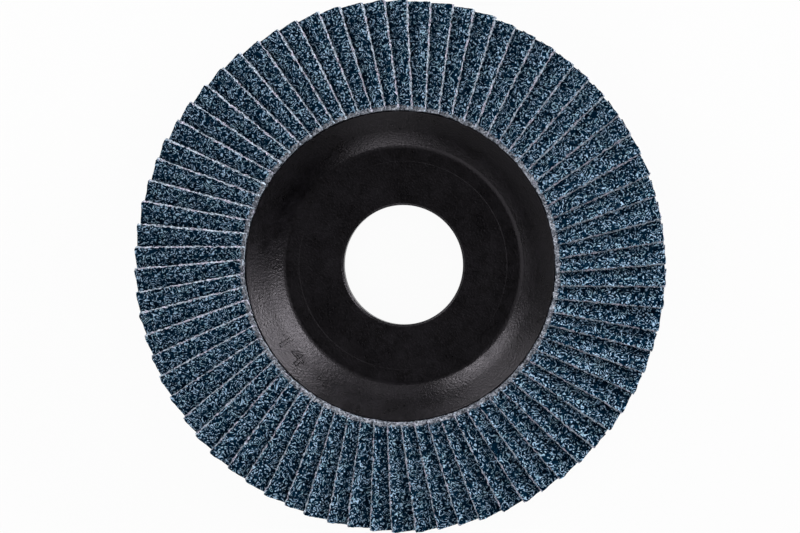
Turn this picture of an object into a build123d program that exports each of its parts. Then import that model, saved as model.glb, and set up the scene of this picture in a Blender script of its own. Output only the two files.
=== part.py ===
"""Flap disc of the 100 mm class: a moulded plastic backing plate with a depressed
centre, a bed of resin on its flange, and a ring of overlapping abrasive cloth flaps.

The disc lies on its back. Z runs along the bore, the flaps face up, and the origin is
the centre of the bore in the back face. Lengths are millimetres, angles are degrees.
"""
from build123d import *
from math import asin, cos, degrees, radians, sin, sqrt
import os

# Whole disc
disc_radius = 49.5  # over the tips of the flaps
disc_height = 11.0  # from the back face to the plane of the flaps' free edges

# Backing plate, one moulding
bore_radius = 11.115
bore_chamfer = 0.4
hub_thickness = 3.2
cone_top_radius = 28.35
cone_run = 6.75  # from the recess floor out to the top of the cone
hub_back_margin = 1.4  # the hub's back is wider than the recess floor by this
rim_height = 9.9  # the cone ends in a rim just under the lowest grit of the flaps' ends
rim_width = 0.45
rim_chamfer = 0.15
flange_top = 5.7
flange_thickness = 2.1
flap_overhang = 4.5  # how far the flap tips stand out beyond the flange
back_cone_run = 3.9  # radial run of the cone on the back
foot_fillet = 3.8  # between the recess floor and the cone
back_root_chamfer = 0.8
edge_chamfer = 0.4  # outer edges of the flange and of the hub's back
witness_inset = 2.2  # fine mould line, in from the foot of the cone
witness_width = 0.3
witness_height = 0.12

# Resin bed
bed_thickness = 0.8
bed_inner_gap = 0.05  # from the outside of the rim
bed_outer_margin = 0.8  # from the flange's edge

# Flaps
flap_count = 74
flaps_per_node = 2
cloth_thickness = 0.8
stack_gap = 0.06  # between neighbouring flaps where they lie closest
root_bend = 10.0  # the root stands steeper than the pressed part by this angle
bend_height = 1.6  # from the resin up to the bend
root_depth = 0.5  # how far a flap is sunk in the resin
end_gap = 0.08  # from the outside of the rim to the flaps' inner ends
outer_end_skew = 4.6  # gives the outline its saw teeth
edge_offset = 3.4  # from a free edge to the radial line beside it
tip_chamfer = 0.45

pitch = 360 / flap_count
bed_top = flange_top + bed_thickness
flange_radius = disc_radius - flap_overhang
rim_radius = cone_top_radius + rim_width
recess_floor_radius = cone_top_radius - cone_run
hub_back_radius = recess_floor_radius + hub_back_margin


def rounded(section, r, z, radius):
    """The section with a fillet at its corner nearest to a point."""
    return fillet(section.vertices().sort_by_distance((r, 0, z))[0], radius)


def bevelled(section, r, z, length):
    """The section with a chamfer at its corner nearest to a point."""
    return chamfer(section.vertices().sort_by_distance((r, 0, z))[0], length)


def backing_plate():
    """The plate's section, turned about the bore."""
    underside = flange_top - flange_thickness
    back_cone_top = hub_back_radius + back_cone_run
    witness_radius = recess_floor_radius - witness_inset
    section = make_face(Plane.XZ * Polyline(
        (bore_radius + bore_chamfer, 0),
        (hub_back_radius - edge_chamfer, 0),
        (hub_back_radius, edge_chamfer),
        (back_cone_top, underside),
        (flange_radius - edge_chamfer, underside),
        (flange_radius, underside + edge_chamfer),
        (flange_radius, flange_top),
        (rim_radius, flange_top),
        (rim_radius, rim_height),
        (cone_top_radius, rim_height),
        (recess_floor_radius, hub_thickness),
        (witness_radius + witness_width / 2, hub_thickness),
        (witness_radius, hub_thickness + witness_height),
        (witness_radius - witness_width / 2, hub_thickness),
        (bore_radius + bore_chamfer, hub_thickness),
        (bore_radius, hub_thickness - bore_chamfer),
        (bore_radius, bore_chamfer),
        close=True,
    ))
    section = rounded(section, recess_floor_radius, hub_thickness, foot_fillet)
    section = bevelled(section, cone_top_radius, rim_height, rim_chamfer)
    section = bevelled(section, rim_radius, rim_height, rim_chamfer)
    section = bevelled(section, back_cone_top, underside, back_root_chamfer)
    return revolve(section, Axis.Z)


def flap():
    """The flap whose free edge runs along X, clockwise of the X axis.

    Its pressed part leans as little as the flap under it allows, so the lean follows
    from the cloth's thickness and the spacing at the inner ends. Close to the resin the
    cloth bends down to its root.
    """
    inner_end = rim_radius + end_gap
    outer_end = sqrt(disc_radius**2 - edge_offset**2)
    spacing = inner_end * sin(radians(pitch))
    lean = degrees(asin((cloth_thickness + stack_gap) / spacing))
    root_lean = lean + root_bend
    root = bed_top - root_depth

    def downhill(slope, length):
        """A step of some length down a slope, in the plane of the section."""
        return Vector(cos(radians(slope)), -sin(radians(slope))) * length

    free_edge = Vector(-edge_offset, disc_height)
    pressed_drop = disc_height - bed_top - bend_height
    bend = free_edge + downhill(lean, pressed_drop / sin(radians(lean)))
    foot = bend + downhill(root_lean, (bend.Y - root) / sin(radians(root_lean)))
    bend_thickness = cloth_thickness / cos(radians(root_bend / 2))
    section = make_face(Plane.YZ * Polyline(
        free_edge,
        bend,
        foot,
        foot + downhill(root_lean + 90, cloth_thickness),
        bend + downhill(lean + root_bend / 2 + 90, bend_thickness),
        free_edge + downhill(lean + 90, cloth_thickness),
        close=True,
    ))
    cloth = extrude(section, disc_radius, dir=(1, 0, 0))

    skew = radians(outer_end_skew)
    tip = Vector(outer_end, -edge_offset, disc_height)
    for trim in (
        Plane((0, 0, root), z_dir=(0, 0, 1)),
        Plane((inner_end, 0, 0), z_dir=(1, 0, 0)),
        Plane(tip, z_dir=(-cos(skew), -sin(skew), 0)),
    ):
        cloth = split(cloth, trim, Keep.TOP)
    tip_edge = cloth.edges().sort_by_distance(tip)[:3].sort_by(SortBy.LENGTH)[0]
    return chamfer(tip_edge, tip_chamfer)


def resin_bed(flaps):
    """The ring of resin on the flange, with a slot for the root of each flap."""
    inner = rim_radius + bed_inner_gap
    outer = flange_radius - bed_outer_margin
    bed = Pos(0, 0, flange_top) * extrude(Circle(outer) - Circle(inner), bed_thickness)
    return bed - flaps


def write(name, shape):
    shape.label = name
    export_step(shape, f"parts/{name}.step")


os.makedirs("parts", exist_ok=True)
first_flap = flap()
flaps = [Rot(0, 0, index * pitch) * first_flap for index in range(flap_count)]
write("backing_plate", backing_plate())
write("resin_bed", resin_bed(flaps))
for start in range(0, flap_count, flaps_per_node):
    number = start // flaps_per_node + 1
    write(f"flaps_{number:02d}", Compound(children=flaps[start:start + flaps_per_node]))
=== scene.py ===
# %% [markdown]
# # A flap disc for an angle grinder
#
# A flap disc is a plastic plate with a ring of abrasive cloth flaps glued to its flange. The resin
# bed is an exact form, so it comes from the CAD model as it is. The plate is made again here,
# because its thin rim and its hollow cone decide how the light falls on it. The flaps are cloth,
# and their look comes from cut edges, waves and grit, so each one is modelled again as well, in
# the same place and form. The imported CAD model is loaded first, as a fixed frame.

# %% Load the frame
import random
from math import asin, cos, degrees, radians, sin, sqrt, tan

import bmesh
import bpy
from mathutils import Matrix, Vector


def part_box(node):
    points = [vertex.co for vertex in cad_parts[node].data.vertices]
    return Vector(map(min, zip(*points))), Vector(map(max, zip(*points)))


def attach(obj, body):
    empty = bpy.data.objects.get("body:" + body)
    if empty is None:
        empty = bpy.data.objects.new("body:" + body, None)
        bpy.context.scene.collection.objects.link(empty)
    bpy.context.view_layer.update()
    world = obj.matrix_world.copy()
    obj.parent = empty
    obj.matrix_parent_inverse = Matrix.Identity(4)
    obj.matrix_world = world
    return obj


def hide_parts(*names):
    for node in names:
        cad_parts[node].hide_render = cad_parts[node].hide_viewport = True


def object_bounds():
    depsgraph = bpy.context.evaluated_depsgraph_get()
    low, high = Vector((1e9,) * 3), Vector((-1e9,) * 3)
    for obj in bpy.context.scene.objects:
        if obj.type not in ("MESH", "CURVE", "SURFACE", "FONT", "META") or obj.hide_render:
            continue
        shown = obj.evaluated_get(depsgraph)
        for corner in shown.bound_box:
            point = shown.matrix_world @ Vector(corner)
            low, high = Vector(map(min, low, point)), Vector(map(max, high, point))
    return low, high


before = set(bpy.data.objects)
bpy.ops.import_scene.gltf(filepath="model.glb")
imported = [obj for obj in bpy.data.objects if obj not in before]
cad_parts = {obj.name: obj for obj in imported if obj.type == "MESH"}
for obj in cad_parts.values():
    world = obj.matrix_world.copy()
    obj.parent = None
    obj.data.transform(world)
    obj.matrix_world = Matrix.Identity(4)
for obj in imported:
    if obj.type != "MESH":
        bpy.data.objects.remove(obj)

MM = 0.001
cad_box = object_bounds()
print("disc", [round(v / MM, 2) for corner in cad_box for v in corner])
print("nodes", len(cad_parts))

# %% [markdown]
# ## A plain studio
#
# The disc lies on its back on a pale floor. The camera looks down almost along the bore, from a
# few degrees to the right of it. It stands far away with a long lens, so the ring stays round.

# %% Camera
disc_top = cad_box[1][2]
aim = Vector((0.07 * MM, -0.05 * MM, disc_top))  # the point in the middle of the view
camera_distance = 2.5
frame_width = 148.2 * MM  # what the camera sees across at the plane of the flaps
lean_right = radians(4.84)
lean_up = radians(1.75)

bpy.ops.object.camera_add()
camera = bpy.context.object
camera.name = "camera"
camera.location = aim + Vector((
    camera_distance * sin(lean_right),
    camera_distance * sin(lean_up),
    camera_distance * cos(lean_right) * cos(lean_up),
))
backwards = (camera.location - aim).normalized()
sideways = Vector((0, 1, 0)).cross(backwards).normalized()
upwards = backwards.cross(sideways)
camera.rotation_euler = Matrix((sideways, upwards, backwards)).transposed().to_euler()
camera.data.lens = camera.data.sensor_width * camera_distance / frame_width
camera.data.clip_start = 0.01
bpy.context.scene.camera = camera
print("lens", round(camera.data.lens), "mm")

# %% Floor
floor_width = 8.0
bpy.ops.object.select_all(action="DESELECT")
bpy.ops.mesh.primitive_plane_add(size=floor_width, location=(0, 0, cad_box[0][2]))
floor = bpy.context.object
floor.name = "floor"
print("floor", floor.dimensions.x, "m wide")

# %% [markdown]
# ## Lamps
#
# The hub is glossy black, so it shows nothing but reflections of the lamps. Its cone stands at
# about 45 degrees and mirrors what is low on the opposite side. Long low lamps on the right and at
# the upper left therefore draw the broad soft lights on the cone. Two big lamps higher up, one on
# each side, light the flaps evenly without filling the gaps between them. Three small lamps add a
# little light from the directions in between.

# %% Lamps
lamp_distance = 1.0


def softbox(name, azimuth, elevation, width, height, power):
    """An area lamp turned to the disc. Its azimuth runs counter-clockwise from +X."""
    flat = cos(radians(elevation))
    place = Vector((
        flat * cos(radians(azimuth)),
        flat * sin(radians(azimuth)),
        sin(radians(elevation)),
    )) * lamp_distance
    bpy.ops.object.light_add(type="AREA", location=place)
    lamp = bpy.context.object
    lamp.name = name
    lamp.rotation_euler = (-place).to_track_quat("-Z", "Y").to_euler()
    lamp.data.shape = "RECTANGLE"
    lamp.data.size = width
    lamp.data.size_y = height
    lamp.data.energy = power


softbox("key_low_right", 31, 12, 0.70, 0.30, 12.0)
softbox("key_high_right", 31, 42, 1.00, 0.80, 2.3)
softbox("fill_left", 211, 42, 1.40, 1.00, 4.8)
softbox("side_left", 136, 13, 0.60, 0.22, 6.6)
softbox("behind", 85, 14, 0.45, 0.20, 0.8)
softbox("front", 272, 20, 0.40, 0.26, 2.4)
softbox("far_left", 180, 15, 0.30, 0.30, 0.3)

# %% [markdown]
# ## Writing shader maths as sums
#
# A procedural finish is arithmetic on a few patterns. The class Value wraps a socket, so that a
# Python expression such as grit * 0.5 + waves adds its Math nodes by itself. The class Finish
# holds one material: its node method adds any other node, sets its settings first, and then fills
# its sockets with numbers, colours or other values. All patterns read Object coordinates in metres.

# %% Value
class Value:
    """A number or colour on its way through a material. Arithmetic on it adds Math nodes."""

    def __init__(self, finish, socket):
        self.finish = finish
        self.socket = socket

    def __add__(self, other):
        return self.finish.maths("ADD", self, other)

    def __radd__(self, other):
        return self.finish.maths("ADD", other, self)

    def __sub__(self, other):
        return self.finish.maths("SUBTRACT", self, other)

    def __rsub__(self, other):
        return self.finish.maths("SUBTRACT", other, self)

    def __mul__(self, other):
        return self.finish.maths("MULTIPLY", self, other)

    def __rmul__(self, other):
        return self.finish.maths("MULTIPLY", other, self)

    def largest(self, other):
        return self.finish.maths("MAXIMUM", self, other)

    def step(self, low, high):
        """A smooth step from 0 at low to 1 at high. With low above high it runs down."""
        return self.finish.node(
            "ShaderNodeMapRange",
            {"interpolation_type": "SMOOTHSTEP"},
            {"Value": self, "From Min": low, "From Max": high},
        )

    def ramp(self, *stops):
        """A colour for each number, from (position, (red, green, blue)) stops."""
        return self.finish.node("ShaderNodeValToRGB", {"stops": stops}, {0: self})


print("sums are written with the class", Value.__name__)

# %% Finish
MIX_FACTOR = 0  # sockets of a Mix node that mixes colours
MIX_FIRST = 6
MIX_SECOND = 7
MIX_RESULT = 2


class Finish:
    """One material while it is being made."""

    def __init__(self, name, **sockets):
        self.material = bpy.data.materials.new(name)
        self.material.use_nodes = True
        self.nodes = self.material.node_tree.nodes
        self.links = self.material.node_tree.links
        self.shader = self.nodes["Principled BSDF"]
        self.wire(**sockets)
        self.place = self.node("ShaderNodeTexCoord", output="Object")

    def fill(self, socket, value):
        """Link a value to a socket, or set the number or colour that stands there."""
        if isinstance(value, Value):
            self.links.new(value.socket, socket)
        elif socket.type == "RGBA":
            socket.default_value = (*value[:3], 1)
        else:
            socket.default_value = value

    def wire(self, **sockets):
        """Feed values to the shader's own sockets."""
        for socket, value in sockets.items():
            self.fill(self.shader.inputs[socket.replace("_", " ")], value)

    def node(self, kind, settings=None, inputs=None, output=0):
        """Add a node, set its settings, fill its sockets, and return one output."""
        made = self.nodes.new(kind)
        for name, setting in (settings or {}).items():
            if name == "stops":
                ramp = made.color_ramp
                for _ in setting[2:]:  # a new ramp has two stops
                    ramp.elements.new(0.5)
                for element, (position, colour) in zip(ramp.elements, setting):
                    element.position = position
                    element.color = (*colour, 1)
            else:
                setattr(made, name, setting)
        for key, value in (inputs or {}).items():
            self.fill(made.inputs[key], value)
        return Value(self, made.outputs[output])

    def maths(self, operation, *numbers):
        """A Math node on numbers or values."""
        return self.node("ShaderNodeMath", {"operation": operation}, dict(enumerate(numbers)))

    def noise(self, size, detail=2.0, roughness=0.5, distortion=0.0):
        """Soft noise whose lumps are about this many millimetres apart."""
        inputs = {
            "Vector": self.place,
            "Scale": 1 / (size * MM),
            "Detail": detail,
            "Roughness": roughness,
            "Distortion": distortion,
        }
        return self.node("ShaderNodeTexNoise", None, inputs)

    def scatter(self, size):
        """Distance from the nearest of many points, in cells of about this many millimetres."""
        inputs = {"Vector": self.place, "Scale": 1 / (size * MM)}
        return self.node("ShaderNodeTexVoronoi", None, inputs, "Distance")

    def mix(self, factor, first, second):
        """A blend of two colours."""
        inputs = {MIX_FACTOR: factor, MIX_FIRST: first, MIX_SECOND: second}
        return self.node("ShaderNodeMix", {"data_type": "RGBA"}, inputs, MIX_RESULT)

    def bump(self, height, depth):
        """A bump from a height between 0 and 1, with its depth in millimetres."""
        inputs = {"Height": height, "Distance": depth * MM, "Strength": 1.0}
        return self.node("ShaderNodeBump", None, inputs)


def give(thing, *materials):
    """Put these materials in an object's slots, in place of what is there."""
    thing.data.materials.clear()
    for material in materials:
        thing.data.materials.append(material)


print("materials are held in the class", Finish.__name__)

# %% [markdown]
# ## Floor and sky
#
# The floor is a matt pale grey for the light that falls on it. For rays from the camera, and for
# rays that come off or through something glossy, it is white, so the background is plain. A few
# parts in a hundred of the matt grey stay in, and they carry the shadow.

# %% Floor and sky
white_share = 0.95
sky_strength = 0.10
floor_finish = Finish("pale_floor", Base_Color=(0.8, 0.8, 0.8), Roughness=0.9)
camera_ray = floor_finish.node("ShaderNodeLightPath", output="Is Camera Ray")
glossy_ray = floor_finish.node("ShaderNodeLightPath", output="Is Glossy Ray")
through_ray = floor_finish.node("ShaderNodeLightPath", output="Is Transmission Ray")
shown = camera_ray.largest(glossy_ray).largest(through_ray) * white_share
matt = Value(floor_finish, floor_finish.shader.outputs[0])
white = floor_finish.node("ShaderNodeEmission", None, {"Color": (1, 1, 1), "Strength": 1.0})
surface = floor_finish.node("ShaderNodeMixShader", None, {0: shown, 1: matt, 2: white})
floor_finish.fill(floor_finish.nodes["Material Output"].inputs["Surface"], surface)
give(floor, floor_finish.material)

world = bpy.data.worlds.new("studio")
bpy.context.scene.world = world
world.use_nodes = True
sky = world.node_tree.nodes["Background"]
sky.inputs["Color"].default_value = (1, 1, 1, 1)
sky.inputs["Strength"].default_value = sky_strength
bpy.context.scene.view_settings.view_transform = "Standard"
print("floor", white_share, "white, sky", sky_strength)

# %% [markdown]
# ## Black plastic
#
# The plate is moulded in nylon filled with glass fibre, dyed black. Almost all that is seen of it
# is its gloss. Clouds and flow marks left by the mould change how rough the gloss is, and fine
# pores break it into grain. The colour itself stays nearly black, with a touch of purple.

# %% Black plastic
plastic = Finish("black_plastic", Specular_IOR_Level=0.32, Specular_Tint=(1.0, 0.93, 1.03))
clouds = plastic.noise(5.0, detail=3, roughness=0.6)
flow = plastic.noise(1.6, detail=3, roughness=0.6, distortion=1.5)
pores = plastic.noise(0.4, detail=2, roughness=0.6)
grain = clouds * 0.3 + flow * 0.4 + pores * 0.3
plastic.wire(
    Base_Color=grain.ramp((0.44, (0.0002, 0.0001, 0.0003)), (0.60, (0.0036, 0.0031, 0.0044))),
    Roughness=clouds * 0.32 + flow * 0.24 + 0.06,
    Normal=plastic.bump(pores, 0.08),
)
print("plastic", len(plastic.nodes), "nodes")

# %% [markdown]
# ## Resin
#
# The flaps are set in a bed of epoxy or phenolic resin, dark brown and lumpy where it has set
# between them. Little of it is seen, so one noise gives both its colour and its bumps.

# %% Resin
resin = Finish("resin", Roughness=0.3)
lumps = resin.noise(0.8, detail=3)
resin.wire(
    Base_Color=lumps.ramp((0.3, (0.02, 0.012, 0.012)), (0.7, (0.05, 0.035, 0.035))),
    Normal=resin.bump(lumps, 0.1),
)
give(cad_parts["resin_bed"], resin.material)
print("resin", len(resin.nodes), "nodes")

# %% [markdown]
# ## Grit
#
# Zirconia grit is glued to the cloth and coated again with blue resin. The grains show as pale
# curls and dots on the deep blue coat. Their pale colour is partly their own and partly painted
# highlights, the glints they would give back from the lamps, because the grit has no gloss of its
# own here. The curls come from the sine of a slow noise, which draws even lines along its levels,
# and a second noise breaks the lines into short pieces. Scattered points add the dots. Modelled
# grains would run into millions, so the material draws them and gives them a slight bump.

# %% Grit
curl_turns = 34  # radians of the sine between the noise's lowest and highest level
grit = Finish("grit", Roughness=0.8, Specular_IOR_Level=0.0)
field = grit.noise(1.15, detail=0, distortion=0.2)
curls = grit.maths("SINE", field * curl_turns).step(0.1, 0.8)
broken = grit.noise(0.6, detail=1).step(0.45, 0.52)
dots = grit.scatter(0.45).step(0.46, 0.22) * grit.noise(0.7, detail=1).step(0.48, 0.54)
# Where the curls and dots stand, the grit is raised by the bump and coloured pale: partly the
# grains' own colour, partly painted highlights.
raised_highlights = (curls * broken).largest(dots)

# The deep blue ground is darker in patches: painted shade of the pits between the grains.
pit_shade_mix = grit.noise(0.8, detail=2, roughness=0.6).step(0.35, 0.60)
ground = grit.mix(pit_shade_mix, (0.0003, 0.004, 0.011), (0.0012, 0.015, 0.035))
# Painted glints: spots where the pale curls and dots are painted brighter still, as if catching a
# lamp.
glint = grit.noise(0.35, detail=1).step(0.38, 0.62)
highlight_colour = grit.mix(glint, (0.10, 0.20, 0.31), (0.48, 0.67, 0.89))
greener = grit.noise(1.8, detail=1).step(0.48, 0.62) * 0.25
tinted_highlight = grit.mix(greener, highlight_colour, (0.26, 0.47, 0.48))
grit_with_highlights = grit.mix(raised_highlights, ground, tinted_highlight)
print("grit", len(grit.nodes), "nodes")

# %% [markdown]
# ## The bare inner end
#
# At the inner end of each flap the grit stops short, and a frayed band of bare cloth shows. The
# band follows the distance from the bore, and a fine noise makes its edge ragged.

# %% The bare inner end
bare_radius = 29.72 * MM
bare_raggedness = 1.6 * MM
bare_fade = 0.1 * MM  # to each side of the band's edge
flat_place = grit.node(
    "ShaderNodeVectorMath", {"operation": "MULTIPLY"}, {0: grit.place, 1: (1, 1, 0)}
)
radius = grit.node("ShaderNodeVectorMath", {"operation": "LENGTH"}, {0: flat_place}, "Value")
fray = grit.noise(0.6, detail=3, roughness=0.7)
ragged_radius = radius + (fray - 0.5) * bare_raggedness
bare = ragged_radius.step(bare_radius + bare_fade, bare_radius - bare_fade)
fibres = grit.noise(0.42, detail=2, roughness=0.7)
fibre_colour = fibres.ramp(
    (0.36, (0.035, 0.040, 0.050)),
    (0.50, (0.220, 0.235, 0.275)),
    (0.66, (0.530, 0.560, 0.640)),
)
grit.wire(Base_Color=grit.mix(bare, grit_with_highlights, fibre_colour), Normal=grit.bump(raised_highlights, 0.1))
print("grit and bare end", len(grit.nodes), "nodes")

# %% [markdown]
# ## Cut cloth and the back of the cloth
#
# Where the cloth is cut, its threads show pale, with dark gaps between them where the resin has
# soaked in, and here and there a lilac stain. The back of the cloth is a plain close weave of
# polyester and cotton, greyer and calmer than the cut edge.

# %% Cut cloth
cut_cloth = Finish("cut_cloth", Roughness=0.85)
threads = cut_cloth.noise(0.42, detail=2, roughness=0.7)
blue_threads = threads.ramp(
    (0.36, (0.035, 0.055, 0.075)),
    (0.50, (0.260, 0.310, 0.370)),
    (0.66, (0.640, 0.740, 0.880)),
)
lilac_threads = threads.ramp(
    (0.36, (0.045, 0.045, 0.060)),
    (0.50, (0.300, 0.290, 0.370)),
    (0.66, (0.720, 0.700, 0.860)),
)
stain = cut_cloth.noise(1.5, detail=1).step(0.48, 0.60)
cut_cloth.wire(
    Base_Color=cut_cloth.mix(stain, blue_threads, lilac_threads),
    Normal=cut_cloth.bump(threads, 0.12),
)
print("cut cloth", len(cut_cloth.nodes), "nodes")

# %% Cloth back
cloth_back = Finish("cloth_back", Roughness=0.85)
weave = cloth_back.noise(0.5, detail=3, roughness=0.7)
cloth_back.wire(
    Base_Color=weave.ramp((0.3, (0.10, 0.10, 0.13)), (0.6, (0.32, 0.31, 0.36))),
    Normal=cloth_back.bump(weave, 0.08),
)
print("cloth back", len(cloth_back.nodes), "nodes")

# %% [markdown]
# ## Working by hand
#
# These short helpers do what a hand does in the modelling window: select something, go into edit
# mode, pick the edges or faces at a place, and leave again. Picking goes by place or by the way a
# face looks, so the steps stay the same when a length changes.

# %% Working by hand
NEAR = 0.01 * MM  # points closer than this count as being at the same place


def take(*things):
    """Select only these objects and make the first one active."""
    if bpy.context.mode != "OBJECT":
        bpy.ops.object.mode_set(mode="OBJECT")
    bpy.ops.object.select_all(action="DESELECT")
    for thing in things:
        thing.select_set(True)
    bpy.context.view_layer.objects.active = things[0]


def edit(thing, kind="VERT"):
    """Go into edit mode on one object with nothing selected."""
    take(thing)
    bpy.ops.object.mode_set(mode="EDIT")
    bpy.ops.mesh.select_mode(type=kind)
    bpy.ops.mesh.select_all(action="DESELECT")


def pick(kind, test):
    """In edit mode, select the verts, edges or faces that pass a test. Returns how many."""
    mesh = bpy.context.edit_object.data
    form = bmesh.from_edit_mesh(mesh)
    bpy.ops.mesh.select_mode(type=kind)
    bpy.ops.mesh.select_all(action="DESELECT")
    members = {"VERT": form.verts, "EDGE": form.edges, "FACE": form.faces}[kind]
    count = 0
    for member in members:
        if test(member):
            member.select_set(True)
            count += 1
    bmesh.update_edit_mesh(mesh)
    return count


def leave():
    """Leave edit mode."""
    bpy.ops.object.mode_set(mode="OBJECT")


def apply_modifier(thing, kind, **settings):
    """Add a modifier with these settings and apply it."""
    take(thing)
    modifier = thing.modifiers.new(kind.lower(), kind)
    for name, setting in settings.items():
        setattr(modifier, name, setting)
    bpy.ops.object.modifier_apply(modifier=modifier.name)


def bake_place(thing):
    """Put an object's place and turn into its mesh."""
    take(thing)
    bpy.ops.object.transform_apply(location=True, rotation=True, scale=True)


def triangles(thing):
    """How many triangles an object's mesh comes to."""
    return sum(len(polygon.vertices) - 2 for polygon in thing.data.polygons)


print("mode", bpy.context.mode)

# %% [markdown]
# ## The backing plate
#
# The plate is one moulding in black plastic: a flat hub round the bore, a cone up to a thin rim,
# and a flange outside it that carries the resin and the flaps. It is round about the bore, so it
# could be spun from its section. Here a ring of edges is extruded and scaled from corner to corner
# of the section, because each corner then stays a ring of its own, and the corners that the mould
# rounds are easy to find and bevel.

# %% Section of the plate
bore_radius = 11.115 * MM
bore_chamfer = 0.4 * MM
hub_thickness = 3.2 * MM
foot_radius = 22.1 * MM  # where the recess floor meets the cone
knee_radius = 24.4 * MM  # the cone is a little hollow, and steepens here
knee_height = 5.1 * MM
cone_top_radius = 28.6 * MM
rim_radius = 28.8 * MM
rim_height = 9.9 * MM
flange_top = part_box("resin_bed")[0][2]
flange_thickness = 2.1 * MM
flange_underside = flange_top - flange_thickness
flange_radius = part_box("backing_plate")[1][0]
hub_back_radius = 23.0 * MM
back_cone_run = 3.9 * MM
edge_chamfer = 0.4 * MM
witness_radius = 19.4 * MM  # a fine line left by the mould
witness_half_width = 0.15 * MM
witness_height = 0.05 * MM

foot = (foot_radius, hub_thickness)
knee = (knee_radius, knee_height)
cone_top = (cone_top_radius, rim_height)
rim_edge = (rim_radius, rim_height)
back_root = (hub_back_radius + back_cone_run, flange_underside)
section = [
    (bore_radius + bore_chamfer, 0),
    (hub_back_radius - edge_chamfer, 0),
    (hub_back_radius, edge_chamfer),
    back_root,
    (flange_radius - edge_chamfer, flange_underside),
    (flange_radius, flange_underside + edge_chamfer),
    (flange_radius, flange_top),
    (rim_radius, flange_top),
    rim_edge,
    cone_top,
    knee,
    foot,
    (witness_radius + witness_half_width, hub_thickness),
    (witness_radius, hub_thickness + witness_height),
    (witness_radius - witness_half_width, hub_thickness),
    (bore_radius + bore_chamfer, hub_thickness),
    (bore_radius, hub_thickness - bore_chamfer),
    (bore_radius, bore_chamfer),
]
print("section", len(section), "corners")

# %% Trace the section round the bore
ring_steps = 240
merge_distance = 0.001 * MM
first_radius, first_height = section[0]
bpy.ops.object.select_all(action="DESELECT")
bpy.ops.mesh.primitive_circle_add(
    vertices=ring_steps, radius=first_radius, location=(0, 0, first_height)
)
plate = bpy.context.object
plate.name = "backing_plate_finished"
bake_place(plate)
edit(plate, "EDGE")
bpy.ops.mesh.select_all(action="SELECT")
for (r, z), (next_r, next_z) in zip(section, section[1:] + section[:1]):
    bpy.ops.mesh.extrude_region_move(TRANSFORM_OT_translate={"value": (0, 0, next_z - z)})
    bpy.ops.transform.resize(
        value=(next_r / r, next_r / r, 1), center_override=(0, 0, next_z)
    )
bpy.ops.mesh.select_all(action="SELECT")
bpy.ops.mesh.remove_doubles(threshold=merge_distance)
bpy.ops.mesh.normals_make_consistent(inside=False)
leave()
print("plate", len(plate.data.polygons), "faces")


# %% Round its corners
def round_corner(corner, radius, segments):
    """Bevel the ring of edges at a corner of the section to an arc of this radius."""
    index = section.index(corner)
    here = Vector(corner)
    before = Vector(section[index - 1])
    after = Vector(section[index + 1])
    turn = (here - before).angle(after - here)

    def on_corner(edge):
        ends = [Vector((v.co.xy.length, v.co.z)) for v in edge.verts]
        return all((end - here).length < NEAR for end in ends)

    edit(plate, "EDGE")
    pick("EDGE", on_corner)
    bpy.ops.mesh.bevel(offset=radius * tan(turn / 2), segments=segments, affect="EDGES")
    leave()


round_corner(foot, 1.4 * MM, 8)
round_corner(knee, 17 * MM, 5)
round_corner(cone_top, 0.15 * MM, 3)
round_corner(rim_edge, 0.12 * MM, 4)
round_corner(back_root, 2.0 * MM, 4)
take(plate)
bpy.ops.object.shade_smooth_by_angle(angle=radians(25))
apply_modifier(plate, "WEIGHTED_NORMAL", keep_sharp=True)
give(plate, plastic.material)
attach(plate, "root")
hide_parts("backing_plate")
print("plate", triangles(plate), "triangles")

# %% [markdown]
# ## The mould number
#
# The mould leaves its cavity number on the cone, as a fine raised outline. A text object with no
# fill and a round bevel gives that outline at once. It is made a mesh while it is still flat, and
# then each of its points is carried to the cone: along the slope, round the bore and out.

# %% Write the number
number_height = 4.6 * MM
number_line = 0.11 * MM  # half the width of the raised line
digit_share = 0.7  # a digit's height as a share of the font's size

bpy.ops.object.select_all(action="DESELECT")
bpy.ops.object.text_add()
number = bpy.context.object
number.name = "mould_number"
number.data.body = "14"
number.data.align_x = "CENTER"
number.data.align_y = "CENTER"
number.data.size = number_height / digit_share
number.data.space_character = 1.1
number.data.fill_mode = "NONE"
number.data.bevel_depth = number_line
number.data.bevel_resolution = 1
number.data.resolution_u = 4
take(number)
bpy.ops.object.convert(target="MESH")
print("number", len(number.data.vertices), "points, still flat")

# %% Carry the number to the cone
number_azimuth = radians(217.5)
number_radius = 25.7 * MM
cone_slope = (Vector(cone_top) - Vector(knee)).normalized()
cone_normal = Vector((-cone_slope.y, cone_slope.x))
cone_middle = Vector(knee) + cone_slope * ((number_radius - knee_radius) / cone_slope.x)

for point in number.data.vertices:
    spot = cone_middle - cone_slope * point.co.y + cone_normal * point.co.z
    around = number_azimuth + point.co.x / number_radius
    point.co = (spot.x * cos(around), spot.x * sin(around), spot.y)
edit(number)
bpy.ops.mesh.select_all(action="SELECT")
bpy.ops.mesh.normals_make_consistent(inside=False)
leave()
take(number)
bpy.ops.object.shade_smooth_by_angle(angle=radians(60))
give(number, plastic.material)
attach(number, "root")
print("number", triangles(number), "triangles")

# %% [markdown]
# ## One flap
#
# A flap is a piece of cloth about 20 mm long, stood on edge in the resin and pressed over, so it
# leans on the next one like a shingle. It leans as little as the flap under it allows. All flaps
# are cut alike, so one is modelled and copied. It starts as a flat grid, because a flat grid is
# easy to bend and trim. It is bent along its foot, laid at its lean, trimmed at both ends, and
# only then given the thickness of the cloth.

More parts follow.
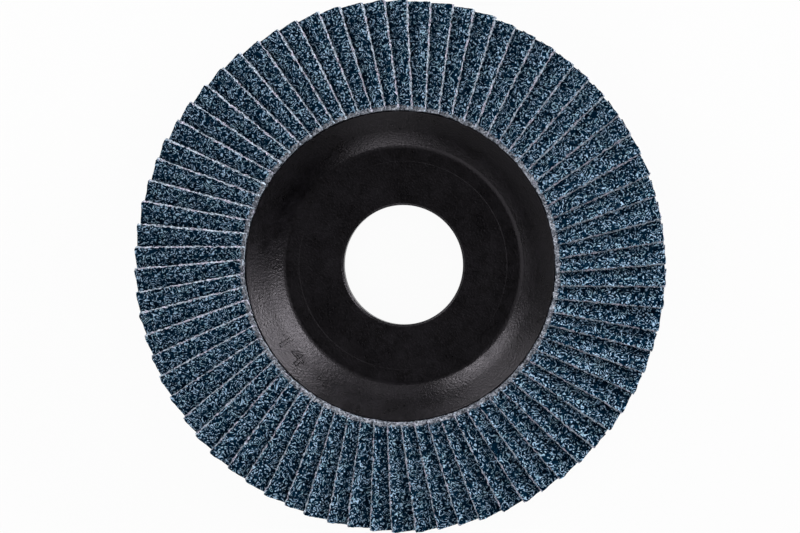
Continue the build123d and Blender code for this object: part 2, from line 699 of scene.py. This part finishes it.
# %% Measures of a flap
flap_count = 74
flaps_in_pair = 2
pitch = 360 / flap_count
cloth_thickness = 0.74 * MM
stack_step = 0.86 * MM  # from one flap to the next, square to the cloth
flap_top = disc_top
flap_root = 6.0 * MM
bend_level = 8.1 * MM
root_bend = 10.0  # the root stands steeper than the rest by this angle
edge_offset = 3.4 * MM  # from the free edge to the radial line beside it
disc_radius = 49.5 * MM
inner_end = rim_radius + 0.08 * MM
outer_end = sqrt(disc_radius**2 - edge_offset**2)
lean = degrees(asin(stack_step / (inner_end * sin(radians(pitch)))))
pressed_length = (flap_top - bend_level) / sin(radians(lean))
root_length = (bend_level - flap_root) / sin(radians(lean + root_bend))
print("lean", round(lean, 2), "degrees")
print("pressed", round(pressed_length / MM, 2), "root", round(root_length / MM, 2))

# %% One flap, flat
inner_waste = 2 * MM  # cloth beyond the cuts, which the trimming takes off
outer_waste = 1 * MM
foot_waste = 0.7 * MM
cells_along = 46
cells_across = 24
sheet_length = outer_end - inner_end + (inner_waste + outer_waste)
sheet_width = pressed_length + root_length + foot_waste
bpy.ops.object.select_all(action="DESELECT")
bpy.ops.mesh.primitive_grid_add(x_subdivisions=cells_along, y_subdivisions=cells_across, size=1)
flap = bpy.context.object
flap.name = "flap"
flap.dimensions = (sheet_length, sheet_width, 0)
flap.location = (inner_end - inner_waste + sheet_length / 2, sheet_width / 2, 0)
bake_place(flap)
print("grid", len(flap.data.polygons), "faces")

# %% Bend and lean
bend_steps = 4
bend_spacing = 0.55 * MM
edit(flap)
for step in reversed(range(bend_steps)):
    line = pressed_length + (step - (bend_steps - 1) / 2) * bend_spacing
    pick("VERT", lambda v: v.co.y > line)
    bpy.ops.transform.rotate(
        value=radians(root_bend / bend_steps), orient_axis="X", center_override=(0, line, 0)
    )
bpy.ops.mesh.select_all(action="SELECT")
bpy.ops.transform.rotate(value=radians(lean), orient_axis="X", center_override=(0, 0, 0))
bpy.ops.transform.translate(value=(0, -edge_offset, flap_top))
leave()
print("bent over", bend_steps, "lines")

# %% Trim the ends
outer_skew = radians(4.6)
edit(flap)
bpy.ops.mesh.select_all(action="SELECT")
bpy.ops.mesh.bisect(plane_co=(inner_end, 0, 0), plane_no=(1, 0, 0), clear_inner=True)
bpy.ops.mesh.select_all(action="SELECT")
bpy.ops.mesh.bisect(
    plane_co=(outer_end, -edge_offset, 0),
    plane_no=(cos(outer_skew), sin(outer_skew), 0),
    clear_outer=True,
)
leave()
print("trimmed sheet", len(flap.data.polygons), "faces")


# %% Finer cells along the free edge
def on_free_edge(edge):
    return all(abs(v.co.y + edge_offset) < NEAR for v in edge.verts)


edit(flap)
free_edges = pick("EDGE", on_free_edge)
bpy.ops.mesh.subdivide(number_cuts=1)
leave()
print("free edge", free_edges, "edges, now twice as many")

# %% Thickness and foot
apply_modifier(flap, "SOLIDIFY", thickness=cloth_thickness, offset=-1)
edit(flap)
bpy.ops.mesh.select_all(action="SELECT")
bpy.ops.mesh.bisect(
    plane_co=(0, 0, flap_root), plane_no=(0, 0, 1), clear_inner=True, use_fill=True
)
leave()
print("flap", len(flap.data.polygons), "faces")

# %% Round the tip
tip_radius = 0.4 * MM
tip_reach = 0.3 * MM
tip = Vector((outer_end, -edge_offset, flap_top - cloth_thickness / 2))


def at_tip(edge):
    """True for the short edge through the cloth at the tip."""
    one, other = (v.co for v in edge.verts)
    middle = (one + other) / 2
    return (middle - tip).length < tip_reach and abs((one - other).z) > cloth_thickness / 2


edit(flap)
tip_edges = pick("EDGE", at_tip)
bpy.ops.mesh.bevel(offset=tip_radius, segments=3, affect="EDGES")
leave()
print("tip edges", tip_edges)

# %% Faces and finishes
back_slot = 1
cut_slot = 2
flat_share = 0.8  # least cosine between the sheet and a face that isn't a cut
up = Vector((0, sin(radians(lean)), cos(radians(lean))))


def on_back(face):
    return face.normal.dot(up) < -flat_share


def on_cut(face):
    return abs(face.normal.dot(up)) < flat_share


give(flap, grit.material, cloth_back.material, cut_cloth.material)
edit(flap)
for slot, test in ((back_slot, on_back), (cut_slot, on_cut)):
    pick("FACE", test)
    flap.active_material_index = slot
    bpy.ops.object.material_slot_assign()
leave()
take(flap)
bpy.ops.object.shade_smooth_by_angle(angle=radians(40))
print("flap", triangles(flap), "triangles")

# %% [markdown]
# ## Waves and frayed edges
#
# Pressed cloth never lies quite flat, and a cut edge is ragged. Two vertex groups say where the
# cloth is free to move: more towards the outer end for the waves, and only along the cut edges
# for the fraying. The roots in the resin and the bend above them stay where they are. Two cloud
# textures push the cloth about, which for 74 flaps is quicker than sculpting.

# %% Freedom to wave and fray
least_free = 0.15  # at the inner end, where the cloth is held best
fray_width = 0.7 * MM
end_fray = 0.4  # the outer ends are cut clean and fray less


def between(number):
    """The number, held between 0 and 1."""
    return max(0.0, min(1.0, number))


free = flap.vertex_groups.new(name="free")
frayed = flap.vertex_groups.new(name="frayed")
for v in flap.data.vertices:
    pressed = between((v.co.z - bend_level) / (flap_top - bend_level))
    outwards = between((v.co.x - inner_end) / (outer_end - inner_end))
    free.add([v.index], pressed * (least_free + (1 - least_free) * outwards), "REPLACE")
    from_edge = min(v.co.y + edge_offset, v.co.x - inner_end)
    near_edge = 1 - between(from_edge / fray_width)
    near_end = end_fray * (1 - between((outer_end - v.co.x) / fray_width))
    frayed.add([v.index], pressed * max(near_edge, near_end), "REPLACE")
print("weights on", len(flap.data.vertices), "points")

# %% Waves
waves = bpy.data.textures.new("waves", "CLOUDS")
waves.noise_scale = 5 * MM
waves.noise_depth = 1
ragged = bpy.data.textures.new("ragged", "CLOUDS")
ragged.noise_scale = 0.45 * MM
ragged.noise_depth = 1
ragged.cloud_type = "COLOR"
print("waves", round(waves.noise_scale / MM, 2), "ragged", round(ragged.noise_scale / MM, 2))

# %% [markdown]
# ## The ring of flaps
#
# The flap is copied round the bore, and each copy sways a little about its inner end and slips a
# little in its place, as flaps set by a machine do. They are joined in pairs, because the CAD
# model holds them in pairs, and each pair takes the place of its twin. The two textures are read
# in place, so every flap waves and frays in its own way.

# %% Set one flap
most_sway = 0.55  # degrees about the inner end of the free edge
most_slip = 0.10  # degrees about the bore
reach_inwards = 0.12 * MM
reach_outwards = 0.06 * MM
chance = random.Random(7)


def set_flap(index):
    """Copy the flap to its place in the ring."""
    take(flap)
    bpy.ops.object.duplicate()
    copy = bpy.context.object
    sway = radians(chance.uniform(-most_sway, most_sway))
    slip = radians(chance.uniform(-most_slip, most_slip))
    reach = chance.uniform(-reach_inwards, reach_outwards)
    bpy.ops.transform.rotate(
        value=-sway, orient_axis="Z", center_override=(inner_end, -edge_offset, 0)
    )
    bpy.ops.transform.translate(value=(reach, 0, 0))
    bpy.ops.transform.rotate(
        value=-radians(index * pitch) - slip, orient_axis="Z", center_override=(0, 0, 0)
    )
    bake_place(copy)
    return copy


print("one flap every", round(pitch, 3), "degrees")

# %% The ring of flaps
wave_height = 0.5 * MM
fray_reach = 0.65 * MM
pairs = []
for start in range(0, flap_count, flaps_in_pair):
    copies = [set_flap(index) for index in range(start, start + flaps_in_pair)]
    take(*copies)
    bpy.ops.object.join()
    pair = bpy.context.object
    pair_number = start // flaps_in_pair + 1
    pair.name = f"flap_pair_{pair_number:02d}"
    apply_modifier(
        pair, "DISPLACE", texture=waves, texture_coords="LOCAL", direction="NORMAL",
        strength=wave_height, mid_level=0.5, vertex_group="free",
    )
    apply_modifier(
        pair, "DISPLACE", texture=ragged, texture_coords="LOCAL", direction="RGB_TO_XYZ",
        strength=fray_reach, mid_level=0.5, vertex_group="frayed",
    )
    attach(pair, "root")
    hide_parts(f"flaps_{pair_number:02d}")
    pairs.append(pair)
bpy.data.objects.remove(flap)
print("pairs", len(pairs), "with", sum(triangles(pair) for pair in pairs), "triangles")
